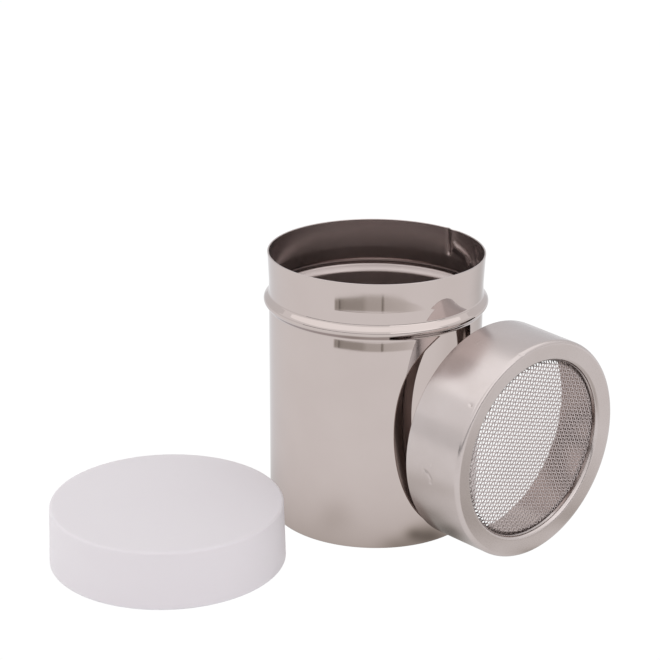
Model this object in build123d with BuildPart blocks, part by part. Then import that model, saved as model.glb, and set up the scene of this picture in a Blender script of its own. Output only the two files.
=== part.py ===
from build123d import *
from math import atan2, ceil, cos, floor, radians, sin, sqrt, tan
import os

# A spice shaker laid out in three pieces on a table: a straight drawn steel cup, its mesh lid
# standing on edge beside it, and the frosted dust cap lying mouth down in front.
# Millimetres, +Z up. The origin is the centre of the cup's flat base.

# ---- driving dimensions ----

# sheet metal
sheet = 0.5

# cup
body_radius = 35.0
cup_height = 90.5
base_corner_radius = 1.3
rim_flare = 0.35
bead_centre_height = 74.5
bead_half_height = 2.2
bead_slope = 52.0
bead_crown_radius = 1.6
bead_foot_radius = 1.2

# mesh lid, measured along its own axis from the open mouth
lid_slip_clearance = 0.25
skirt_flare = 0.4
lid_height = 22.0
flange_shoulder_radius = 1.2
flange_width = 6.8
lip_drop = 0.6
lip_bend_radius = 1.4
lip_depth = 2.1

# woven mesh clamped under the turned lip
wire_width = 0.28
mesh_pitch = 1.18
mesh_margin = 1.6
weave_turn = -17.5
weave_crossing = 90.0
layer_clearance = 0.02

# pressed ring that holds the mesh against the lip
ring_set_back = 0.1
ring_collar_depth = 3.2
ring_press_clearance = 0.05

# dust cap, moulded plastic
cap_wall = 1.0
cap_slip_clearance = 0.3
cap_taper = 0.65
cap_height = 19.0
cap_edge_radius = 0.8

# bends are turned in flat chords, none longer than this
longest_chord = 2.1

# where the two loose pieces lie on the table
lid_direction = -46.4
lid_mouth_x = 36.6
lid_mouth_y = -19.4
cap_x = -65.5
cap_y = -40.6

# ---- sizes that follow ----

rim_radius = body_radius + rim_flare
bead_reach = bead_half_height * tan(radians(bead_slope))
skirt_top_radius = rim_radius + lid_slip_clearance + sheet
skirt_mouth_radius = skirt_top_radius + skirt_flare
skirt_lean = atan2(skirt_flare, lid_height)
lip_radius = skirt_top_radius - flange_width
lip_end_height = lid_height - lip_drop - lip_depth
mesh_radius = lip_radius + mesh_margin
warp_height = lip_end_height - layer_clearance - wire_width / 2
weft_height = warp_height - layer_clearance - wire_width
ring_top = weft_height - layer_clearance - wire_width / 2
ring_inner_radius = lip_radius + ring_set_back
ring_outer_radius = skirt_top_radius - sheet - ring_press_clearance
wire_count = floor(2 * mesh_radius / mesh_pitch)
cap_mouth_radius = skirt_mouth_radius + cap_slip_clearance + cap_wall
cap_top_radius = cap_mouth_radius - cap_taper

# ---- the lid's own frame ----
# The skirt tapers, so on edge the lid rests on its mouth and its shoulder, and its axis dips a little.

heading = radians(lid_direction)
lid_axis = Vector(
    cos(skirt_lean) * cos(heading),
    cos(skirt_lean) * sin(heading),
    -sin(skirt_lean),
)
lid_across = Vector(-sin(heading), cos(heading), 0)
lid_mouth = Vector(lid_mouth_x, lid_mouth_y, skirt_mouth_radius * cos(skirt_lean))
lid_profile_plane = Plane(origin=lid_mouth, x_dir=lid_across, z_dir=lid_across.cross(lid_axis))
lid_spin_axis = Axis(lid_mouth, lid_axis)


def bent_outline(corners, radii):
    """Points along an outline whose corners are rounded, each bend turned in a few short chords."""
    outline = FilletPolyline(*corners, radius=radii)
    points = [outline @ 0]
    for edge in outline.edges():
        pieces = ceil(edge.length / longest_chord) if edge.geom_type == GeomType.CIRCLE else 1
        points += [edge @ (piece / pieces) for piece in range(1, pieces + 1)]
    return points


# ---- cup: drawn shell with one rolled bead and a plain cut rim ----

cup_outline = bent_outline(
    corners=[
        (0, 0),
        (body_radius, 0),
        (body_radius, bead_centre_height - bead_half_height),
        (body_radius + bead_reach, bead_centre_height),
        (body_radius, bead_centre_height + bead_half_height),
        (rim_radius, cup_height),
    ],
    radii=[base_corner_radius, bead_foot_radius, bead_crown_radius, bead_foot_radius],
)

with BuildPart() as cup_body:
    with BuildSketch(Plane.XZ):
        with BuildLine():
            Polyline(*cup_outline)
            offset(amount=sheet, kind=Kind.INTERSECTION, side=Side.LEFT, closed=True)
        make_face()
    revolve(axis=Axis.Z)
cup_body.part.label = "cup_body"


# ---- lid shell: flared skirt, rounded shoulder, flange and a lip turned in round the mesh ----

lid_outline = bent_outline(
    corners=[
        (skirt_mouth_radius, 0),
        (skirt_top_radius, lid_height),
        (lip_radius, lid_height - lip_drop),
        (lip_radius, lip_end_height),
    ],
    radii=[flange_shoulder_radius, lip_bend_radius],
)

with BuildPart() as lid_shell:
    with BuildSketch(lid_profile_plane):
        with BuildLine():
            Polyline(*lid_outline)
            offset(amount=sheet, kind=Kind.INTERSECTION, side=Side.LEFT, closed=True)
        make_face()
    revolve(axis=lid_spin_axis)
lid_shell.part.label = "lid_shell"


# ---- mesh: two layers of straight wires crossing at right angles, trimmed to a round disc ----


def wire_layer(height, turn):
    """Parallel wires at the mesh pitch, lying at a height along the lid's axis, each as long as the disc
    is wide there."""
    along_wires = lid_across.rotate(Axis((0, 0, 0), lid_axis), turn)
    layer_plane = Plane(origin=lid_mouth + lid_axis * height, x_dir=along_wires, z_dir=lid_axis)
    end_plane = Plane(origin=layer_plane.origin, x_dir=layer_plane.y_dir, z_dir=layer_plane.x_dir)
    with BuildPart() as layer:
        for wire in range(wire_count):
            off_centre = (wire - (wire_count - 1) / 2) * mesh_pitch
            with BuildSketch(end_plane):
                with Locations((off_centre, 0)):
                    Rectangle(wire_width, wire_width)
            extrude(amount=sqrt(mesh_radius**2 - off_centre**2), both=True)
    return layer


mesh_warp_wires = wire_layer(warp_height, weave_turn)
mesh_warp_wires.part.label = "mesh_warp_wires"

mesh_weft_wires = wire_layer(weft_height, weave_turn + weave_crossing)
mesh_weft_wires.part.label = "mesh_weft_wires"


# ---- retaining ring: pressed angle section, its flat under the mesh and its collar in the skirt ----

with BuildPart() as mesh_retaining_ring:
    with BuildSketch(lid_profile_plane):
        with BuildLine():
            Polyline(
                (ring_inner_radius, ring_top),
                (ring_outer_radius, ring_top),
                (ring_outer_radius, ring_top - ring_collar_depth),
            )
            offset(amount=sheet, kind=Kind.INTERSECTION, side=Side.RIGHT, closed=True)
        make_face()
    revolve(axis=lid_spin_axis)
mesh_retaining_ring.part.label = "mesh_retaining_ring"


# ---- dust cap: tapered moulded shell, mouth down ----

cap_outline = bent_outline(
    corners=[
        (cap_mouth_radius, 0),
        (cap_top_radius, cap_height),
        (0, cap_height),
    ],
    radii=[cap_edge_radius],
)

with BuildPart() as dust_cap:
    with BuildSketch(Plane(origin=(cap_x, cap_y, 0), x_dir=(1, 0, 0), z_dir=(0, -1, 0))):
        with BuildLine():
            Polyline(*cap_outline)
            offset(amount=cap_wall, kind=Kind.INTERSECTION, side=Side.LEFT, closed=True)
        make_face()
    revolve(axis=Axis((cap_x, cap_y, 0), (0, 0, 1)))
    split(bisect_by=Plane.XY, keep=Keep.TOP)
dust_cap.part.label = "dust_cap"


# ---- one STEP per sub-part ----

os.makedirs("parts", exist_ok=True)
export_step(cup_body.part, "parts/cup_body.step")
export_step(lid_shell.part, "parts/lid_shell.step")
export_step(mesh_warp_wires.part, "parts/mesh_warp_wires.step")
export_step(mesh_weft_wires.part, "parts/mesh_weft_wires.step")
export_step(mesh_retaining_ring.part, "parts/mesh_retaining_ring.step")
export_step(dust_cap.part, "parts/dust_cap.step")
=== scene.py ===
"""Looks of the spice shaker: polished cup, satin mesh lid standing on edge, and frosted dust cap.

Metres, unless a comment says otherwise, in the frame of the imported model: +Z up, and the origin at the
centre of the cup's base.
"""

import bmesh
import bpy
import numpy as np
from mathutils import Matrix, Vector


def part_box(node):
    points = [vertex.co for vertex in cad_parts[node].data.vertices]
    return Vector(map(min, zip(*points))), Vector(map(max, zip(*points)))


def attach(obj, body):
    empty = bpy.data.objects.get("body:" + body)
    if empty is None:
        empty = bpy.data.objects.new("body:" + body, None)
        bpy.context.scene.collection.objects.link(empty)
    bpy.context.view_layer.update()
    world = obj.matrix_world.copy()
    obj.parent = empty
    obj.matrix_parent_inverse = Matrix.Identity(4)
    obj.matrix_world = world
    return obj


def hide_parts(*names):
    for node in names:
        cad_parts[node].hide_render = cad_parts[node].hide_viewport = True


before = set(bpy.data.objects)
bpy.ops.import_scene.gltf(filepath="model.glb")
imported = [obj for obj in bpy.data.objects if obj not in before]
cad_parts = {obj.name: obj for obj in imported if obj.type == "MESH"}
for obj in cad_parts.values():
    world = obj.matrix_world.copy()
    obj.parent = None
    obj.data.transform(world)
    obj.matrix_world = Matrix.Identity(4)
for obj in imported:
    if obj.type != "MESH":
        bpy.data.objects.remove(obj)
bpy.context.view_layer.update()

MM = 0.001

# ---- sizes of the pieces ----

SHEET = 0.5 * MM
CUT_EDGE_ROUNDING = 0.07 * MM
BEND_MARGIN = 0.15 * MM
LONG_RUN = 4 * BEND_MARGIN
DOUBLES = 1e-4 * MM

CUP_HEIGHT = 90.5 * MM
BEAD_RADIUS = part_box("cup_body")[1].x
BODY_RADIUS = 35.0 * MM
BASE_RADIUS = 34.75 * MM
NECK_BEND_HEIGHT = 81.0 * MM
NECK_BEND_RADIUS = 8.0 * MM
FLARE_HEIGHT = 86.0 * MM
FLARE_RADIUS = 35.23 * MM
FLARE_BEND_RADIUS = 500 * MM
RIM_RADIUS = 35.47 * MM
BASE_CORNER_RADIUS = 1.3 * MM
BEAD_MIDDLE = 74.5 * MM
BEAD_HALF_HEIGHT = 2.35 * MM
BEAD_CROWN_RADIUS = 1.45 * MM
BEAD_CROWN_CUT = 0.45 * MM
BEAD_FOOT_RADIUS = 1.3 * MM
CUP_ANGLES = 300
FOLD_SPREADS = [(46, 5), (30, 12), (18, 5)]
BODY_SPACING = 4.0 * MM
NECK_SPACING = 0.6 * MM

LID_HEIGHT = 22.0 * MM
LID_TOP_RADIUS = 36.1 * MM
LID_MOUTH_RADIUS = 36.5 * MM
LID_SHOULDER_RADIUS = 1.3 * MM
LIP_RADIUS = 29.3 * MM
LIP_DROP = 0.6 * MM
LIP_BEND_RADIUS = 1.5 * MM
LIP_END_HEIGHT = 19.3 * MM
LID_ANGLES = 320
MARK_SPREADS = [(184.5, 4), (142, 2), (105, 2)]
LID_OUTSIDE_SPACING = 0.4 * MM
LID_INSIDE_SPACING = 1.6 * MM

MESH_RADIUS = 30.9 * MM
MESH_MIDDLE = 18.99 * MM
MESH_DOME = 1.3 * MM
MESH_STEP = 0.7 * MM
MESH_STEP_RADIUS = 27.8 * MM
MESH_STEP_WIDTH = 1.5 * MM
MESH_PITCH = 1.18 * MM
WARP_RADIUS = 0.20 * MM
WEFT_RADIUS = 0.17 * MM
WIRE_SWING = 0.186 * MM
WIRE_SIDES = 6
STEPS_TO_A_PITCH = 5
WEAVE_TURN = np.radians(-17.5)

RING_TOP = 18.68 * MM
RING_INNER_RADIUS = 28.6 * MM
RING_OUTER_RADIUS = 35.55 * MM
RING_DEPTH = 3.2 * MM
RING_BEND_RADIUS = 0.9 * MM
RING_ANGLES = 256
RING_SPACING = 1.2 * MM

cap_low, cap_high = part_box("dust_cap")
CAP_HEIGHT = cap_high.z
CAP_MOUTH_RADIUS = (cap_high.x - cap_low.x) / 2
CAP_TOP_RADIUS = 37.15 * MM
CAP_WALL = 1.0 * MM
CAP_EDGE_RADIUS = 0.9 * MM
CAP_ANGLES = 320
CAP_SPACING = 2.0 * MM

# ---- where the loose pieces lie ----

CUP_PLACE = Matrix.Identity(4)
CAP_PLACE = Matrix.Translation(((cap_low.x + cap_high.x) / 2, (cap_low.y + cap_high.y) / 2, 0))

LID_HEADING = np.radians(-46.4)
LID_LEAN = np.arctan2(LID_MOUTH_RADIUS - LID_TOP_RADIUS, LID_HEIGHT)
LID_MOUTH_CENTRE = Vector((36.6 * MM, -19.4 * MM, LID_MOUTH_RADIUS * np.cos(LID_LEAN)))


def lid_place():
    """The lid's own frame: z along its axis out of the mesh, x level across the table, y up."""
    axis = Vector((
        np.cos(LID_LEAN) * np.cos(LID_HEADING),
        np.cos(LID_LEAN) * np.sin(LID_HEADING),
        -np.sin(LID_LEAN),
    ))
    across = Vector((-np.sin(LID_HEADING), np.cos(LID_HEADING), 0))
    turn = Matrix((across, axis.cross(across), axis)).transposed().to_4x4()
    return Matrix.Translation(LID_MOUTH_CENTRE) @ turn


LID_PLACE = lid_place()


# ---- outlines ----


def rounded(corners, radii, arc_steps):
    """An outline through corners, each inner one turned in an arc that touches both its runs.

    The arc's centre lies on the bisector at radius / cos(turn / 2) from the corner, and its points go
    round that centre from one touching point to the other in equal angles.
    """
    corners = np.array(corners, float)
    points = [corners[:1]]
    for before, corner, after, radius in zip(corners, corners[1:], corners[2:], radii):
        arriving = (corner - before) / np.linalg.norm(corner - before)
        leaving = (after - corner) / np.linalg.norm(after - corner)
        turn = np.arctan2(arriving[0] * leaving[1] - arriving[1] * leaving[0], arriving @ leaving)
        side = np.sign(turn) * np.array([-arriving[1], arriving[0]])
        start = corner - arriving * radius * np.tan(abs(turn) / 2)
        angles = np.linspace(0, abs(turn), arc_steps + 1)[:, None]
        points.append(start + side * radius * (1 - np.cos(angles)) + arriving * radius * np.sin(angles))
    points.append(corners[-1:])
    return np.vstack(points)


def divided(outline, longest):
    """The same outline, with each run cut into equal parts no longer than a given length.

    The length is one for all runs, or one for each. A long run also has a point a small margin from
    either end, which keeps its shading flat right up to a bend or a cut edge.
    """
    points = [outline[:1]]
    for start, end, limit in zip(outline, outline[1:], np.broadcast_to(longest, len(outline) - 1)):
        length = np.linalg.norm(end - start)
        stops = np.linspace(0, 1, int(np.ceil(length / limit)) + 1)
        if length > LONG_RUN:
            stops = np.union1d(stops, [BEND_MARGIN / length, 1 - BEND_MARGIN / length])
        points.append(start + stops[1:, None] * (end - start))
    return np.vstack(points)


def other_side(outline, thickness):
    """The outline's far side, square to it on its left, further out at a turn by 1 / cos(turn / 2)."""
    runs = np.diff(outline, axis=0)
    runs /= np.linalg.norm(runs, axis=1)[:, None]
    both = np.vstack([runs[:1], runs]) + np.vstack([runs, runs[-1:]])
    left = np.stack([-both[:, 1], both[:, 0]], axis=1) * 2 / np.sum(both**2, axis=1)[:, None]
    return outline + left * thickness


def cut_edge(first, second, back_run):
    """Four points that round the corners of a sheet's cut edge, from one face to the other."""
    across = (second - first) / np.linalg.norm(second - first) * CUT_EDGE_ROUNDING
    back = back_run / np.linalg.norm(back_run) * CUT_EDGE_ROUNDING
    return np.array([first + back, first + across, second - across, second + back])


# ---- meshes from grids of points ----


def object_from(name, points, faces, inside=None):
    """An object at the origin with a smooth mesh, its doubles merged and its faces turned outwards.

    Faces marked inside take the second material.
    """
    mesh = bpy.data.meshes.new(name)
    mesh.from_pydata(points, [], faces)
    if inside is not None:
        mesh.polygons.foreach_set("material_index", inside)
    work = bmesh.new()
    work.from_mesh(mesh)
    bmesh.ops.remove_doubles(work, verts=work.verts, dist=DOUBLES)
    bmesh.ops.recalc_face_normals(work, faces=work.faces)
    work.to_mesh(mesh)
    work.free()
    mesh.polygons.foreach_set("use_smooth", np.ones(len(mesh.polygons), bool))
    piece = bpy.data.objects.new(name, mesh)
    bpy.context.scene.collection.objects.link(piece)
    return piece


def grid_faces(rows, columns, rows_close):
    """Four-cornered faces between neighbours on a grid whose columns go round and close."""
    row_steps = rows if rows_close else rows - 1
    row, column = np.meshgrid(np.arange(row_steps), np.arange(columns), indexing="ij")
    next_row = (row + 1) % rows
    next_column = (column + 1) % columns
    corners = [row * columns + column, row * columns + next_column]
    corners += [next_row * columns + next_column, next_row * columns + column]
    return np.stack(corners, axis=-1).reshape(-1, 4)


def placed(points, place):
    """Points moved from a piece's own frame into the model's."""
    place = np.array(place)
    return points.reshape(-1, 3) @ place[:3, :3].T + place[:3, 3]


def spun(name, section, place, angles, rows_close, dent=None, inside_rows=None):
    """A section spun round the z axis of a frame.

    The point of row i and column j lies at (r cos a, r sin a, h), where (r, h) is the section's point i,
    with dent(a, h) added to r, and a is angle j. Faces from row inside_rows on are on the inside.
    """
    reach = section[:, :1] + 0 * angles[None, :]
    height = section[:, 1:] + 0 * angles[None, :]
    if dent is not None:
        reach = np.where(reach > 0, reach + dent(angles[None, :], height), 0)
    points = np.stack([reach * np.cos(angles), reach * np.sin(angles), height], axis=-1)
    faces = grid_faces(len(section), len(angles), rows_close)
    inside = None
    if inside_rows is not None:
        inside = (faces[:, 0] // len(angles) >= inside_rows).astype(np.int32)
    return object_from(name, placed(points, place), faces.tolist(), inside)


def even_angles(count, spreads=()):
    """Angles all round, with 30 more within each spread of (middle, half width) in degrees.

    Of two that lie within 0.002 of each other, only the first is kept.
    """
    finer_count = 30
    least_apart = 0.002
    sets = [np.linspace(0, 2 * np.pi, count, endpoint=False)]
    for middle, half_width in spreads:
        near = np.radians(middle + np.linspace(-half_width, half_width, finer_count))
        sets.append(near % (2 * np.pi))
    angles = np.sort(np.concatenate(sets))
    kept = [angles[0]]
    for angle in angles[1:]:
        if angle - kept[-1] > least_apart:
            kept.append(angle)
    return np.array(kept)


def turned(angle, middle_degrees):
    """How far an angle is past a middle one, between minus and plus half a turn."""
    return (angle - np.radians(middle_degrees) + np.pi) % (2 * np.pi) - np.pi


def fold(angle, height, radius, width, stops):
    """A ridge one high along a broken line on a wall, through stops of degrees and height in millimetres.

    It falls off as exp(-(d / width)^2), where d is the distance from the line's nearest point on the
    unrolled wall, in which a place has the coordinates angle * radius and height.
    """
    distance = np.inf
    for (from_angle, from_height), (to_angle, to_height) in zip(stops, stops[1:]):
        across = turned(angle, from_angle) * radius
        up = height - from_height * MM
        run = np.radians(to_angle - from_angle) * radius
        rise = (to_height - from_height) * MM
        share = np.clip((across * run + up * rise) / (run**2 + rise**2), 0, 1)
        distance = np.minimum(distance, np.hypot(across - share * run, up - share * rise))
    return np.exp(-((distance / width) ** 2))


# ---- cup ----


def cup_section():
    """From the centre of the base up the outside to the rim, and down the inside to the centre."""
    bead_reach = BEAD_RADIUS - BODY_RADIUS + BEAD_CROWN_CUT
    outline = rounded(
        corners=[
            (0, 0),
            (BASE_RADIUS, 0),
            (BODY_RADIUS, BEAD_MIDDLE - BEAD_HALF_HEIGHT),
            (BODY_RADIUS + bead_reach, BEAD_MIDDLE),
            (BODY_RADIUS, BEAD_MIDDLE + BEAD_HALF_HEIGHT),
            (BODY_RADIUS, NECK_BEND_HEIGHT),
            (FLARE_RADIUS, FLARE_HEIGHT),
            (RIM_RADIUS, CUP_HEIGHT),
        ],
        radii=[
            BASE_CORNER_RADIUS,
            BEAD_FOOT_RADIUS,
            BEAD_CROWN_RADIUS,
            BEAD_FOOT_RADIUS,
            NECK_BEND_RADIUS,
            FLARE_BEND_RADIUS,
        ],
        arc_steps=9,
    )
    outer = divided(outline, np.where(outline[:-1, 1] > BEAD_MIDDLE, NECK_SPACING, BODY_SPACING))
    inner = other_side(outer, SHEET)
    inner[0, 0] = 0
    edge = cut_edge(outer[-1], inner[-1], outer[-2] - outer[-1])
    return np.vstack([outer[:-1], edge, inner[-2::-1]]), len(outer) + 1


VALLEY_DEPTH = 0.35 * MM
VALLEY_WIDTH = 0.9 * MM
VALLEY_STOPS = [(47.5, 92), (46, 85), (45.2, 82.5)]
RIDGE_HEIGHT = 0.38 * MM
RIDGE_WIDTH = 1.3 * MM
RIDGE_STOPS = [(43.5, 92), (43, 86.5), (40.5, 84.8), (29, 83.2), (25, 81.8)]
SECOND_RIDGE_HEIGHT = 0.22 * MM
SECOND_RIDGE_WIDTH = 1.0 * MM
SECOND_RIDGE_STOPS = [(20.5, 87.2), (16.5, 84.3)]
BEAD_CLEARANCE = 1.7 * BEAD_HALF_HEIGHT
FADE_HEIGHT = 2 * MM
FLARE_LOST = 0.42 * MM
FLAT_MIDDLE = -46
FLAT_WIDTH = np.radians(14)


def cup_dent(angle, height):
    """A fold in the neck: a valley down from the rim, a ridge beside it that slants off, and a short one.

    It fades out towards the bead over FADE_HEIGHT. The flare also flattens on one side, by FLARE_LOST at
    the rim and evenly less down to the neck's bend, falling off round the neck as
    exp(-((angle - FLAT_MIDDLE) / FLAT_WIDTH)^2).
    """
    valley = fold(angle, height, BODY_RADIUS, VALLEY_WIDTH, VALLEY_STOPS)
    ridge = fold(angle, height, BODY_RADIUS, RIDGE_WIDTH, RIDGE_STOPS)
    second = fold(angle, height, BODY_RADIUS, SECOND_RIDGE_WIDTH, SECOND_RIDGE_STOPS)
    inwards = RIDGE_HEIGHT * ridge + SECOND_RIDGE_HEIGHT * second - VALLEY_DEPTH * valley
    above_bead = np.clip((height - BEAD_MIDDLE - BEAD_CLEARANCE) / FADE_HEIGHT, 0, 1)
    risen = np.clip((height - NECK_BEND_HEIGHT) / (CUP_HEIGHT - NECK_BEND_HEIGHT), 0, 1)
    flattened = FLARE_LOST * risen * np.exp(-((turned(angle, FLAT_MIDDLE) / FLAT_WIDTH) ** 2))
    return -inwards * above_bead - flattened


def make_cup():
    """The drawn shell with its fold; the faces from the cut rim on are marked as inside."""
    section, inside_rows = cup_section()
    angles = even_angles(CUP_ANGLES, FOLD_SPREADS)
    return spun("cup", section, CUP_PLACE, angles, False, cup_dent, inside_rows)


cup = make_cup()


# ---- mesh lid ----


def lid_section():
    """Round the lid's sheet: up the skirt, over the shoulder and flange, down the lip, and back inside."""
    outline = rounded(
        corners=[
            (LID_MOUTH_RADIUS, 0),
            (LID_TOP_RADIUS, LID_HEIGHT),
            (LIP_RADIUS, LID_HEIGHT - LIP_DROP),
            (LIP_RADIUS, LIP_END_HEIGHT),
        ],
        radii=[LID_SHOULDER_RADIUS, LIP_BEND_RADIUS],
        arc_steps=14,
    )
    outer = divided(outline, LID_OUTSIDE_SPACING)
    inner = other_side(divided(outline, LID_INSIDE_SPACING), SHEET)
    lip_edge = cut_edge(outer[-1], inner[-1], outer[-2] - outer[-1])
    mouth_edge = cut_edge(inner[0], outer[0], outer[1] - outer[0])
    return np.vstack([outer[1:-1], lip_edge, inner[-2:0:-1], mouth_edge]), len(outer)


SCRATCH_DEPTH = 0.22 * MM
HOOK_WIDTH = 0.28 * MM
HOOK_STOPS = [(181.8, 8.1), (182.6, 9.5), (185.1, 10.7), (187.5, 10.5)]
PIT_WIDTH = 0.40 * MM
PIT_STOPS = [(142, 18.9), (142.2, 19.0)]
NICK_WIDTH = 0.30 * MM
NICK_STOPS = [(104.2, 21.5), (105.8, 21.0)]


def lid_dent(angle, height):
    """Small marks on the skirt and the shoulder: a hooked scratch, a pit and a nick."""
    hook = fold(angle, height, LID_MOUTH_RADIUS, HOOK_WIDTH, HOOK_STOPS)
    pit = fold(angle, height, LID_MOUTH_RADIUS, PIT_WIDTH, PIT_STOPS)
    nick = fold(angle, height, LID_MOUTH_RADIUS, NICK_WIDTH, NICK_STOPS)
    return -SCRATCH_DEPTH * (hook + pit + nick)


def make_lid():
    """The lid's shell with its marks; the faces from the lip's cut edge on are marked as inside."""
    section, inside_rows = lid_section()
    angles = even_angles(LID_ANGLES, MARK_SPREADS)
    return spun("lid", section, LID_PLACE, angles, True, lid_dent, inside_rows)


lid = make_lid()


def woven_wires(name, radius, turn, lifts):
    """One direction of the plain weave, every wire a round tube that swings over and under.

    Wire k stands (k - middle) pitches off centre and is as long as the disc is wide there. At x along it
    the height is lifts * swing * cos(pi * x / pitch + phase) * (-1)^k above a shallow dome, which falls
    as the square of the distance from the disc's centre, and then by a smooth step to the clamped edge.
    The tube's rings lie square to that line.
    """
    wires = int(2 * MESH_RADIUS / MESH_PITCH)
    steps = STEPS_TO_A_PITCH * wires
    off_centre = (np.arange(wires) - (wires - 1) / 2)[:, None] * MESH_PITCH
    along = np.linspace(-1, 1, steps + 1)[None, :] * np.sqrt(MESH_RADIUS**2 - off_centre**2)
    phase = np.pi * (along / MESH_PITCH + (wires - 1) / 2)
    swing = lifts * WIRE_SWING * np.where(np.arange(wires) % 2, -1, 1)[:, None]
    from_centre = np.hypot(along, off_centre)
    step = np.clip((from_centre - MESH_STEP_RADIUS) / MESH_STEP_WIDTH, 0, 1)
    dome = MESH_DOME * (1 - (from_centre / MESH_RADIUS) ** 2)
    dome += MESH_STEP * (1 - step**2 * (3 - 2 * step))
    height = MESH_MIDDLE + dome + swing * np.cos(phase)
    slope = np.gradient(height, axis=1) / np.gradient(along, axis=1)
    length = np.sqrt(1 + slope**2)
    round_wire = np.arange(WIRE_SIDES) * 2 * np.pi / WIRE_SIDES
    above = radius * np.sin(round_wire)
    x = along[..., None] - above * (slope / length)[..., None]
    y = off_centre[..., None] + radius * np.cos(round_wire) + 0 * x
    z = height[..., None] + above / length[..., None]
    turned_x = x * np.cos(turn) - y * np.sin(turn)
    turned_y = x * np.sin(turn) + y * np.cos(turn)
    points = np.stack([turned_x, turned_y, z], axis=-1)
    starts = np.arange(wires)[:, None, None] * (steps + 1) * WIRE_SIDES
    faces = (grid_faces(steps + 1, WIRE_SIDES, rows_close=False)[None] + starts).reshape(-1, 4).tolist()
    first_ring = np.arange(WIRE_SIDES)[None, :] + starts[:, 0]
    faces += first_ring.tolist() + (first_ring + steps * WIRE_SIDES).tolist()
    return object_from(name, placed(points, LID_PLACE), faces)


warp_wires = woven_wires("warp_wires", WARP_RADIUS, WEAVE_TURN, lifts=1)
weft_wires = woven_wires("weft_wires", WEFT_RADIUS, WEAVE_TURN + np.pi / 2, lifts=-1)


def ring_section():
    """Round the clamping ring's angle: its flat under the mesh, a small bend, and its collar."""
    outline = rounded(
        corners=[
            (RING_INNER_RADIUS, RING_TOP),
            (RING_OUTER_RADIUS, RING_TOP),
            (RING_OUTER_RADIUS, RING_TOP - RING_DEPTH),
        ],
        radii=[RING_BEND_RADIUS],
        arc_steps=8,
    )
    outer = divided(outline, RING_SPACING)
    inner = other_side(outer, -SHEET)
    low_edge = cut_edge(outer[-1], inner[-1], outer[-2] - outer[-1])
    flat_edge = cut_edge(inner[0], outer[0], outer[1] - outer[0])
    return np.vstack([outer[1:-1], low_edge, inner[-2:0:-1], flat_edge])


clamp_ring = spun("clamp_ring", ring_section(), LID_PLACE, even_angles(RING_ANGLES), rows_close=True)


# ---- dust cap ----


def cap_section():
    """From the centre of the top down the outside to the mouth, and up the inside to the centre."""
    outline = rounded(
        corners=[(0, CAP_HEIGHT), (CAP_TOP_RADIUS, CAP_HEIGHT), (CAP_MOUTH_RADIUS, 0)],
        radii=[CAP_EDGE_RADIUS],
        arc_steps=12,
    )
    outer = divided(outline, CAP_SPACING)
    inner = other_side(outer, -CAP_WALL)
    inner[0, 0] = 0
    inner[-1, 1] = 0
    edge = cut_edge(outer[-1], inner[-1], outer[-2] - outer[-1])
    return np.vstack([outer[:-1], edge, inner[-2::-1]])


cap = spun("cap", cap_section(), CAP_PLACE, even_angles(CAP_ANGLES), rows_close=False)


# ---- materials ----

CLOUD_SCALE = 70.0
WAVE_SCALE = 45.0
LINE_SCALE = 9000.0
ROUND_SCALE = 120.0
GROOVE_FADE = 0.4 * MM
SHADE_FADE = 0.7 * MM


def node(tree, kind, inputs=None, **settings):
    """Adds a shader node with its settings, and its inputs by name as values or as sockets to join."""
    made = tree.nodes.new(kind)
    for key, value in settings.items():
        setattr(made, key, value)
    for key, value in (inputs or {}).items():
        if isinstance(value, bpy.types.NodeSocket):
            tree.links.new(value, made.inputs[key])
        else:
            made.inputs[key].default_value = value
    return made


def own_place(tree, place):
    """A point on a piece in the piece's own frame, read from its Object coordinates."""
    where = node(tree, "ShaderNodeTexCoord").outputs["Object"]
    location, rotation, _ = place.decompose()
    turn = {"Vector": where, "Location": location, "Rotation": rotation.to_euler()}
    return node(tree, "ShaderNodeMapping", turn, vector_type="TEXTURE").outputs[0]


def maths(tree, operation, *values):
    """The result of a Math node's operation on numbers or sockets."""
    made = tree.nodes.new("ShaderNodeMath")
    made.operation = operation
    for socket, value in zip(made.inputs, values):
        if isinstance(value, bpy.types.NodeSocket):
            tree.links.new(value, socket)
        else:
            socket.default_value = value
    return made.outputs[0]


def parted(tree, vector):
    """The x, y and z of a vector."""
    return node(tree, "ShaderNodeSeparateXYZ", {"Vector": vector}).outputs


def from_axis(tree, x, y):
    """Distance from the z axis: sqrt(x^2 + y^2)."""
    squares = maths(tree, "ADD", maths(tree, "MULTIPLY", x, x), maths(tree, "MULTIPLY", y, y))
    return maths(tree, "SQRT", squares)


def noise(tree, vector, scale, detail):
    """Noise from about 0.3 to 0.7 at a place."""
    settings = {"Vector": vector, "Scale": scale, "Detail": detail}
    return node(tree, "ShaderNodeTexNoise", settings).outputs[0]


def spin_lines(tree, own, across_scale, along_scale):
    """Fine noise drawn out round the piece's axis, as rubbing on a lathe leaves.

    It is noise at (x, y) * along_scale and (z - distance from the axis) * across_scale, so it changes
    slowly round the piece and fast along its skirt and across its flange.
    """
    x, y, z = parted(tree, own)
    run = maths(tree, "SUBTRACT", z, from_axis(tree, x, y))
    drawn = node(tree, "ShaderNodeCombineXYZ", {
        "X": maths(tree, "MULTIPLY", x, along_scale),
        "Y": maths(tree, "MULTIPLY", y, along_scale),
        "Z": maths(tree, "MULTIPLY", run, across_scale),
    })
    return noise(tree, drawn.outputs[0], scale=1.0, detail=3.0)


def ranged(tree, value, low, high, from_low=0.3, from_high=0.7):
    """A value carried from one range to another, and held at the ends; the first is noise's own."""
    limits = {"Value": value, "From Min": from_low, "From Max": from_high, "To Min": low, "To Max": high}
    return node(tree, "ShaderNodeMapRange", limits).outputs[0]


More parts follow.
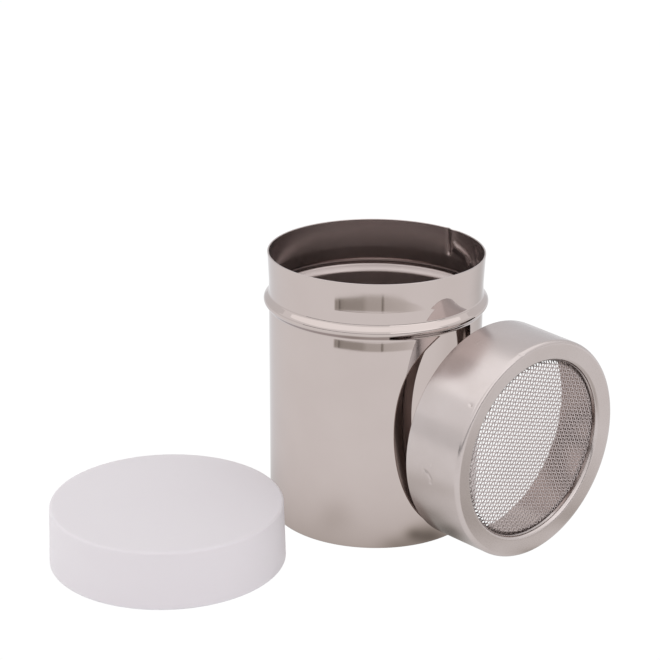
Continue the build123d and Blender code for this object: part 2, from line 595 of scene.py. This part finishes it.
def surface(name, settings):
    """A material whose Principled shader has the given values at its named inputs."""
    material = bpy.data.materials.new(name)
    material.use_nodes = True
    shader = material.node_tree.nodes["Principled BSDF"]
    for key, value in settings.items():
        shader.inputs[key].default_value = value
    return material


def mixed(tree, share, first, second):
    """A colour part of the way from a first one, a colour or a socket, to a second colour."""
    mix = node(tree, "ShaderNodeMix", {"A": first, "B": second}, data_type="RGBA")
    tree.links.new(share, mix.inputs[0])
    return mix.outputs["Result"]


def steel(name, place, tint, rubbed_tint, gloss, line_gloss=0.0, line_depth=0.0, wave_depth=0.0):
    """Stainless steel with a cloudy change of tint and gloss, spun rubbing lines and slow waves."""
    material = surface(name, {"Metallic": 1, "Specular Tint": (*EDGE_TINT, 1)})
    tree = material.node_tree
    shader = tree.nodes["Principled BSDF"]
    own = own_place(tree, place)
    cloud = noise(tree, own, CLOUD_SCALE, detail=3.0)
    lines = spin_lines(tree, own, LINE_SCALE, ROUND_SCALE)
    colour = mixed(tree, ranged(tree, cloud, 0, 1), (*tint, 1), (*rubbed_tint, 1))
    tree.links.new(colour, shader.inputs["Base Color"])
    smudge = maths(tree, "ADD", ranged(tree, cloud, *gloss), ranged(tree, lines, -line_gloss, line_gloss))
    tree.links.new(smudge, shader.inputs["Roughness"])
    wave = noise(tree, own, WAVE_SCALE, detail=1.0)
    coarse = {"Height": wave, "Distance": wave_depth, "Strength": 1.0}
    slow = node(tree, "ShaderNodeBump", coarse).outputs[0]
    fine = {"Height": lines, "Distance": line_depth, "Strength": 1.0, "Normal": slow}
    tree.links.new(node(tree, "ShaderNodeBump", fine).outputs[0], shader.inputs["Normal"])
    return material


def dull_below(material, place, height, more):
    """Makes a steel rougher below a height on its own axis, over 2 mm."""
    tree = material.node_tree
    roughness = tree.nodes["Principled BSDF"].inputs["Roughness"]
    z = parted(tree, own_place(tree, place))[2]
    extra = ranged(tree, z, more, 0, height - MM, height + MM)
    tree.links.new(maths(tree, "ADD", roughness.links[0].from_socket, extra), roughness)


def darken(material, share, tint):
    """Paints shade into a steel's colour: carries it to a tint by a share from 0 to 1."""
    tree = material.node_tree
    colour = tree.nodes["Principled BSDF"].inputs["Base Color"]
    tree.links.new(mixed(tree, share, colour.links[0].from_socket, (*tint, 1)), colour)


def shade_groove(material, place, middle, half_height, tint):
    """Paints shade into a steel: darkens it to a tint round a height on its own axis, fading over
    GROOVE_FADE on both sides.
    """
    tree = material.node_tree
    z = parted(tree, own_place(tree, place))[2]
    away = maths(tree, "ABSOLUTE", maths(tree, "SUBTRACT", z, middle))
    darken(material, ranged(tree, away, 1, 0, half_height, half_height + GROOVE_FADE), tint)


def shade_edge(material, place, radius, tint):
    """Paints shade into a steel: darkens it to a tint from a distance off its own axis on, fading in over
    SHADE_FADE.
    """
    tree = material.node_tree
    x, y, _ = parted(tree, own_place(tree, place))
    darken(material, ranged(tree, from_axis(tree, x, y), 0, 1, radius, radius + SHADE_FADE), tint)


EDGE_TINT = (0.86, 0.87, 0.89)
STEEL_TINT = (0.565, 0.495, 0.475)
STEEL_RUBBED = (0.55, 0.48, 0.46)
# The cup's inside is a lighter copy of its steel: painted light inside the cup.
INSIDE_TINT = (0.60, 0.525, 0.51)
INSIDE_RUBBED = (0.57, 0.495, 0.48)
# Painted shade for the groove inside the bead.
GROOVE_PAINTED_SHADE = (0.50, 0.435, 0.42)
SATIN_TINT = (0.585, 0.525, 0.515)
SATIN_RUBBED = (0.55, 0.49, 0.475)
# The lid's inside is a darker copy of its steel: painted shade inside the lid.
LID_INSIDE_SHADED_TINT = (0.46, 0.39, 0.365)
LID_INSIDE_SHADED_RUBBED = (0.42, 0.355, 0.33)
# The clamping ring is a darker copy of the steel: painted shade under the mesh.
RING_SHADED_TINT = (0.33, 0.28, 0.265)
RING_SHADED_RUBBED = (0.29, 0.245, 0.23)
WIRE_TINT = (0.57, 0.50, 0.495)
WIRE_RUBBED = (0.52, 0.455, 0.45)
# Painted shade for the wires round the mesh's edge.
WIRE_SHADED = (0.15, 0.12, 0.115)
CAP_TINT = (0.738, 0.70, 0.727)

polished = steel(
    "polished_steel", CUP_PLACE, STEEL_TINT, STEEL_RUBBED,
    gloss=(0.02, 0.035), line_gloss=0.005, wave_depth=0.02 * MM,
)
# Painted light: the cup's inside takes the lighter copy of the steel.
cup_inside = steel(
    "cup_inside", CUP_PLACE, INSIDE_TINT, INSIDE_RUBBED,
    gloss=(0.21, 0.24), wave_depth=0.02 * MM,
)
satin = steel(
    "satin_steel", LID_PLACE, SATIN_TINT, SATIN_RUBBED,
    gloss=(0.17, 0.26), line_gloss=0.02, line_depth=0.0005 * MM, wave_depth=0.10 * MM,
)
# Painted shade: the lid's inside takes the darker copy of the steel.
lid_inside = steel(
    "lid_inside", LID_PLACE, LID_INSIDE_SHADED_TINT, LID_INSIDE_SHADED_RUBBED,
    gloss=(0.14, 0.18), line_gloss=0.01, wave_depth=0.05 * MM,
)
# Painted shade: the ring takes the darker copy of the steel.
ring_steel = steel("ring_steel", LID_PLACE, RING_SHADED_TINT, RING_SHADED_RUBBED, gloss=(0.30, 0.35))
wire_steel = steel("wire_steel", LID_PLACE, WIRE_TINT, WIRE_RUBBED, gloss=(0.25, 0.35))
frosted_plastic = surface("frosted_plastic", {
    "Base Color": (*CAP_TINT, 1),
    "Roughness": 0.6,
    "Specular IOR Level": 0.15,
    "Subsurface Weight": 0.8,
    "Subsurface Radius": (1, 1, 1),
    "Subsurface Scale": 1.2 * MM,
})

dull_below(cup_inside, CUP_PLACE, BEAD_MIDDLE, more=0.10)
# Painted shade in the groove inside the bead.
shade_groove(cup_inside, CUP_PLACE, BEAD_MIDDLE, BEAD_HALF_HEIGHT, GROOVE_PAINTED_SHADE)
# Painted shade on the wires round the mesh's edge, where it steps down to the clamp under the lip.
shade_edge(wire_steel, LID_PLACE, MESH_STEP_RADIUS, WIRE_SHADED)


def finish_piece(piece, body, nodes, slot, *materials):
    """Gives a piece its materials and the body that it rides on, and hides the nodes that it stands for.
    """
    for material in materials:
        piece.data.materials.append(material)
    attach(piece, body)
    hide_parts(*nodes)


finish_piece(cup, "cup", ["cup_body"], "polished_steel", polished, cup_inside)
finish_piece(lid, "mesh_lid", ["lid_shell"], "satin_steel", satin, lid_inside)
finish_piece(warp_wires, "mesh_lid", ["mesh_warp_wires"], "mesh_steel", wire_steel)
finish_piece(weft_wires, "mesh_lid", ["mesh_weft_wires"], "mesh_steel", wire_steel)
finish_piece(clamp_ring, "mesh_lid", ["mesh_retaining_ring"], "ring_steel", ring_steel)
finish_piece(cap, "dust_cap", ["dust_cap"], "frosted_plastic", frosted_plastic)

# The cap and the wires don't show in the steel of the other pieces.
cap.visible_glossy = False
warp_wires.visible_glossy = False
weft_wires.visible_glossy = False


# ---- studio ----

GROUND = [(-6.0, -6.0, 0), (6.0, -6.0, 0), (6.0, 6.0, 0), (-6.0, 6.0, 0)]
GROUND_WHITE = 1.02
WALL_LIGHT = 0.86
ROOM_LIGHT = 0.12
WINDOW_LIGHT = 1.4
LIGHT_ABOVE = 1.32
FRONT_ARC = 1.2
ONE_FACE = [(0, 1, 2, 3)]


def stage_sheet(name, points, faces, material):
    """A flat sheet of the studio's, with its material."""
    mesh = bpy.data.meshes.new(name)
    mesh.from_pydata(points, [], faces)
    mesh.materials.append(material)
    sheet = bpy.data.objects.new(name, mesh)
    bpy.context.scene.collection.objects.link(sheet)
    return sheet


def glow(name, radiance, attribute=None):
    """A material that only gives off light, white or in the colours of a mesh attribute."""
    material = bpy.data.materials.new(name)
    material.use_nodes = True
    tree = material.node_tree
    tree.nodes.clear()
    colour = (1, 1, 1, 1)
    if attribute is not None:
        colour = node(tree, "ShaderNodeAttribute", attribute_name=attribute).outputs["Color"]
    emission = node(tree, "ShaderNodeEmission", {"Color": colour, "Strength": radiance})
    tree.links.new(emission.outputs[0], node(tree, "ShaderNodeOutputMaterial").inputs[0])
    return material


def backdrop():
    """The white ground, which only the camera sees."""
    sheet = stage_sheet("backdrop", GROUND, ONE_FACE, glow("white", GROUND_WHITE))
    sheet.visible_diffuse = False
    sheet.visible_glossy = False
    sheet.visible_transmission = False
    sheet.visible_shadow = False


def table():
    """The table top that lights the object from below. What the steel shows of it is the table card."""
    material = surface("table_top", {
        "Base Color": (0.80, 0.775, 0.76, 1),
        "Roughness": 1,
        "Specular IOR Level": 0,
        "Emission Color": (0.19, 0.215, 0.23, 1),
        "Emission Strength": 1,
    })
    sheet = stage_sheet("table", GROUND, ONE_FACE, material)
    sheet.visible_camera = False
    sheet.visible_glossy = False


def card(name, points, faces, material):
    """A soft light or a dark flag that shows only in reflections."""
    sheet = stage_sheet(name, points, faces, material)
    sheet.visible_camera = False
    sheet.visible_diffuse = False
    sheet.visible_shadow = False
    sheet.visible_transmission = False
    return sheet


# The table card's painted shade, in millimetres: painted shadows of the cup and the lid, and a painted
# dark reflection. The line on which the lid rests starts under its mouth, at LID_REST, and goes on by
# LID_REST_RUN.
# Each spot is its depth, x, y and radius. The sill is a dark ring painted round the cup's axis, with its
# brightness at directions in degrees.
CUP_SHADE = 0.30
CUP_SHADE_REACH = 22
CUP_WALL = 35
LID_SHADE = 0.4
LID_SHADE_REACH = 5
LID_REST = (36.6, -19.4)
LID_REST_RUN = (15.2, -15.9)
SHADE_SPOTS = [
    (0.65, 23, -31, 9),
    (0.35, 9, -35, 7),
    (0.45, 20, -38, 5),
    (0.15, -26, -48, 14),
    (0.45, 78, -54, 15),
    (0.30, 84, -22, 12),
    (0.36, 108, -43, 26),
    (0.20, 160, 170, 80),
    (0.10, 195, -24, 60),
]
PAINTED_SILL_START = 212.5
PAINTED_SILL_END = 223.5
PAINTED_SILL_LIGHT = [
    (-132, 1.0), (-130, 0.43), (-127.5, 0.46), (-126, 0.24), (-124, 0.40), (-121, 0.44), (-103, 0.46),
    (-98, 0.60), (-85, 0.62), (-83.5, 0.28), (-81, 0.67), (-62, 0.74), (-38, 1.0),
]
SHADE_WARMTH = (0, -0.10, -0.22)
CARD_HEIGHT = 0.05


def painted_table_light(x, y):
    """How brightly each place on the table shows in the steel, from 0 to 1, with painted shade.

    It is painted shadow: it falls by shade * exp(-distance / reach) towards the cup's wall and towards the
    line on which the lid rests, and by depth * exp(-(distance / radius)^2) at each soft spot: between the
    two, in front of the lid and out to the right. Between the sill's start and end it falls to the sill's
    light, over
    1 mm, as a painted dark reflection.
    """
    rest_x, rest_y = LID_REST
    run_x, run_y = LID_REST_RUN
    from_cup = np.hypot(x, y)
    light = 1 - CUP_SHADE * np.exp(-np.maximum(from_cup - CUP_WALL, 0) / CUP_SHADE_REACH)
    share = ((x - rest_x) * run_x + (y - rest_y) * run_y) / (run_x**2 + run_y**2)
    share = np.clip(share, 0, 1)
    from_lid = np.hypot(x - rest_x - run_x * share, y - rest_y - run_y * share)
    light *= 1 - LID_SHADE * np.exp(-from_lid / LID_SHADE_REACH)
    for depth, spot_x, spot_y, radius in SHADE_SPOTS:
        light *= 1 - depth * np.exp(-((x - spot_x) ** 2 + (y - spot_y) ** 2) / radius**2)
    sill = np.interp(np.degrees(np.arctan2(y, x)), *zip(*PAINTED_SILL_LIGHT))
    in_sill = np.clip(np.minimum(from_cup - PAINTED_SILL_START, PAINTED_SILL_END - from_cup), 0, 1)
    return light * (1 - in_sill * (1 - sill))


def painted_table_card():
    """The table top as the steel shows it, with painted shadows: a polar grid round the cup with a colour
    at each point.

    Its rings stand closer near the cup and at the sill, and its rays closer where the sill changes. The
    colour is light * (1, 1, 1) + (1 - light) * light * SHADE_WARMTH, so it is warmer in the painted shade.
    """
    reach = np.concatenate([np.arange(30, 70, 1.0), np.arange(70, 210, 4.0), np.arange(210, 226, 0.5)])
    reach = np.concatenate([reach, np.geomspace(226, 6000, 20)])
    angle = np.radians(np.concatenate([np.arange(-135, -75, 0.5), np.arange(-75, 225, 2.0)]))
    x = reach[:, None] * np.cos(angle)
    y = reach[:, None] * np.sin(angle)
    light = painted_table_light(x, y).reshape(-1, 1)
    colour = light + (1 - light) * light * np.array([SHADE_WARMTH])
    points = np.stack([x, y, 0 * x + CARD_HEIGHT], axis=-1).reshape(-1, 3) * MM
    faces = grid_faces(len(reach), len(angle), rows_close=False)
    material = glow("painted_table_light", 1.0, attribute="light")
    sheet = card("painted_table_card", points.tolist(), faces.tolist(), material)
    layer = sheet.data.attributes.new("light", "FLOAT_COLOR", "POINT")
    layer.data.foreach_set("color", np.hstack([colour, 0 * light + 1]).ravel())


def level(z, left, right, near, far):
    """Corners of a level sheet at height z."""
    return [(left, near, z), (right, near, z), (right, far, z), (left, far, z)]


def upright(y, left, right, low, high):
    """Corners of an upright sheet across the view at depth y."""
    return [(left, y, low), (right, y, low), (right, y, high), (left, y, high)]


def sideways(x, near, far, low, high):
    """Corners of an upright sheet along the view at a distance x to the side."""
    return [(x, near, low), (x, far, low), (x, far, high), (x, near, high)]


def front_arc(directions, height):
    """Points at one height on an arc in front of the object, at directions in degrees."""
    angles = np.radians(directions)
    x = FRONT_ARC * np.cos(angles)
    y = FRONT_ARC * np.sin(angles)
    return np.stack([x, y, 0 * x + height], axis=-1)


def cards():
    """What stands round the object and shows in its steel.

    White walls, a low dark band where the room lies in front, a bright window above its right half, a
    light above, and the table.
    """
    back = upright(y=1.5, left=-3.0, right=3.0, low=0.0, high=1.8)
    left = sideways(x=-1.7, near=-1.5, far=1.5, low=0.0, high=0.5)
    right = sideways(x=1.7, near=-1.5, far=1.5, low=0.0, high=0.5)
    above = level(z=1.3, left=-1.6, right=1.6, near=-0.9, far=0.9)
    card("back_wall", back, ONE_FACE, glow("back_wall", WALL_LIGHT))
    card("left_wall", left, ONE_FACE, glow("left_wall", WALL_LIGHT))
    card("right_wall", right, ONE_FACE, glow("right_wall", WALL_LIGHT))
    steps = 40
    directions = np.linspace(-165, -15, steps + 1)
    band = np.vstack([front_arc(directions, height=0.03), front_arc(directions, height=0.18)])
    band_faces = [(i, i + 1, i + steps + 2, i + steps + 1) for i in range(steps)]
    card("dark_horizon", band.tolist(), band_faces, glow("dark_horizon", ROOM_LIGHT))
    window = np.vstack([front_arc([-75, -20], height=0.30), front_arc([-20, -75], height=1.0)])
    card("window", window.tolist(), ONE_FACE, glow("window", WINDOW_LIGHT))
    card("light_above", above, ONE_FACE, glow("light_above", LIGHT_ABOVE))
    painted_table_card()


def sky():
    """An even white surround."""
    world = bpy.data.worlds.new("surround")
    world.use_nodes = True
    world.node_tree.nodes["Background"].inputs["Strength"].default_value = GROUND_WHITE
    world.node_tree.nodes["Background"].inputs["Color"].default_value = (1, 1, 1, 1)
    bpy.context.scene.world = world


def camera():
    """A long lens in front and a little above, turned by its yaw, pitch and roll."""
    yaw, pitch, roll = -0.02493, 0.34784, 0.00617
    focal_pixels, frame_pixels, sensor = 1937.8, 660, 36.0
    stand = (0, -0.600, 0.2803)
    forward = Vector((np.sin(yaw) * np.cos(pitch), np.cos(yaw) * np.cos(pitch), -np.sin(pitch)))
    right = Vector((np.cos(yaw), -np.sin(yaw), 0))
    up = right.cross(forward)
    turned_right = np.cos(roll) * right + np.sin(roll) * up
    turned_up = np.cos(roll) * up - np.sin(roll) * right
    data = bpy.data.cameras.new("camera")
    data.sensor_width = sensor
    data.lens = focal_pixels / frame_pixels * sensor
    eye = bpy.data.objects.new("camera", data)
    bpy.context.scene.collection.objects.link(eye)
    turn = Matrix((turned_right, turned_up, -forward)).transposed().to_4x4()
    eye.matrix_world = Matrix.Translation(stand) @ turn
    bpy.context.scene.camera = eye


backdrop()
table()
cards()
sky()
camera()
bpy.context.scene.view_settings.view_transform = "Standard"
